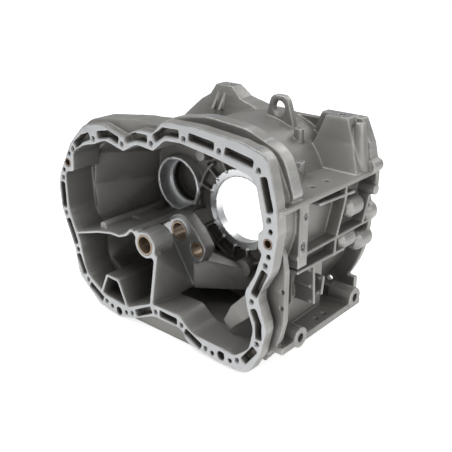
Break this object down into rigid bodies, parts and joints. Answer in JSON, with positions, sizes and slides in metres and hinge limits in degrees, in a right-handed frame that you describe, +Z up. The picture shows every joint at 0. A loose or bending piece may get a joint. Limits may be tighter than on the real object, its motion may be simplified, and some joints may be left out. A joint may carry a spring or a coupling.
{
  "type": "gearbox housing",
  "caption": "Cast aluminium gearbox and clutch housing with a lobed ribbed flange, two bearing bores, an idler boss, towers and a lifting eye.",
  "frame": {"origin": "centre of the main bearing bore, at the front face of its ring", "axes": "+Y along the main shaft from the gear side to the bell, +X to the right seen from the gear side, +Z up"},
  "size_m": [0.5832, 0.321, 0.462],
  "materials": {
    "cast_aluminium": "sand cast, machined faces",
    "bush_bronze": "machined",
    "dowel_steel": "ground"
  },
  "bodies": {
    "root": {"housing_casting": "cast_aluminium", "idler_bush_front": "bush_bronze", "idler_bush_rear": "bush_bronze", "selector_bush": "bush_bronze", "dowel_sleeve_left": "dowel_steel", "dowel_sleeve_right": "dowel_steel"}
  },
  "joints": []
}
